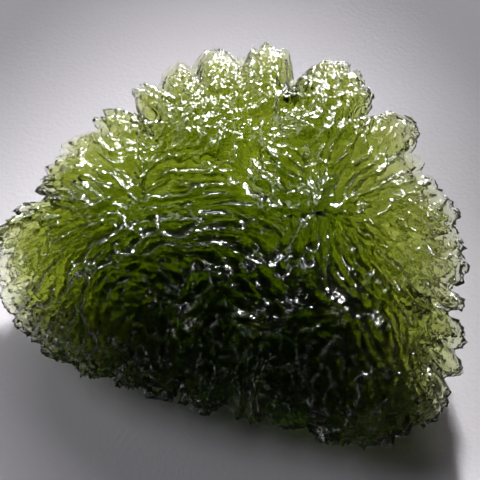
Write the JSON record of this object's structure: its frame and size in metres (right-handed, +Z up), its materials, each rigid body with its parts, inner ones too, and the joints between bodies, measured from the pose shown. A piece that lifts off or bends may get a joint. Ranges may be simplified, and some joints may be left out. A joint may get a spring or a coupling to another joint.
{
  "type": "moldavite",
  "caption": "Domed disc of green natural glass with a frilled, scalloped rim and folds fanning out from its top. It lies on a small flat spot.",
  "frame": {"origin": "bottom centre of the bounding box, in the plane of the flat spot that the stone rests on", "axes": "+Z up, -Y towards the steep thick front, +Y towards the thin raised back rim, +X to the right, along the widest way"},
  "size_m": [0.0423, 0.0399, 0.0131],
  "materials": {
    "glass": "see-through bottle green with a wet gloss, near black where it is thick"
  },
  "bodies": {
    "root": {"moldavite": "glass"}
  },
  "joints": []
}
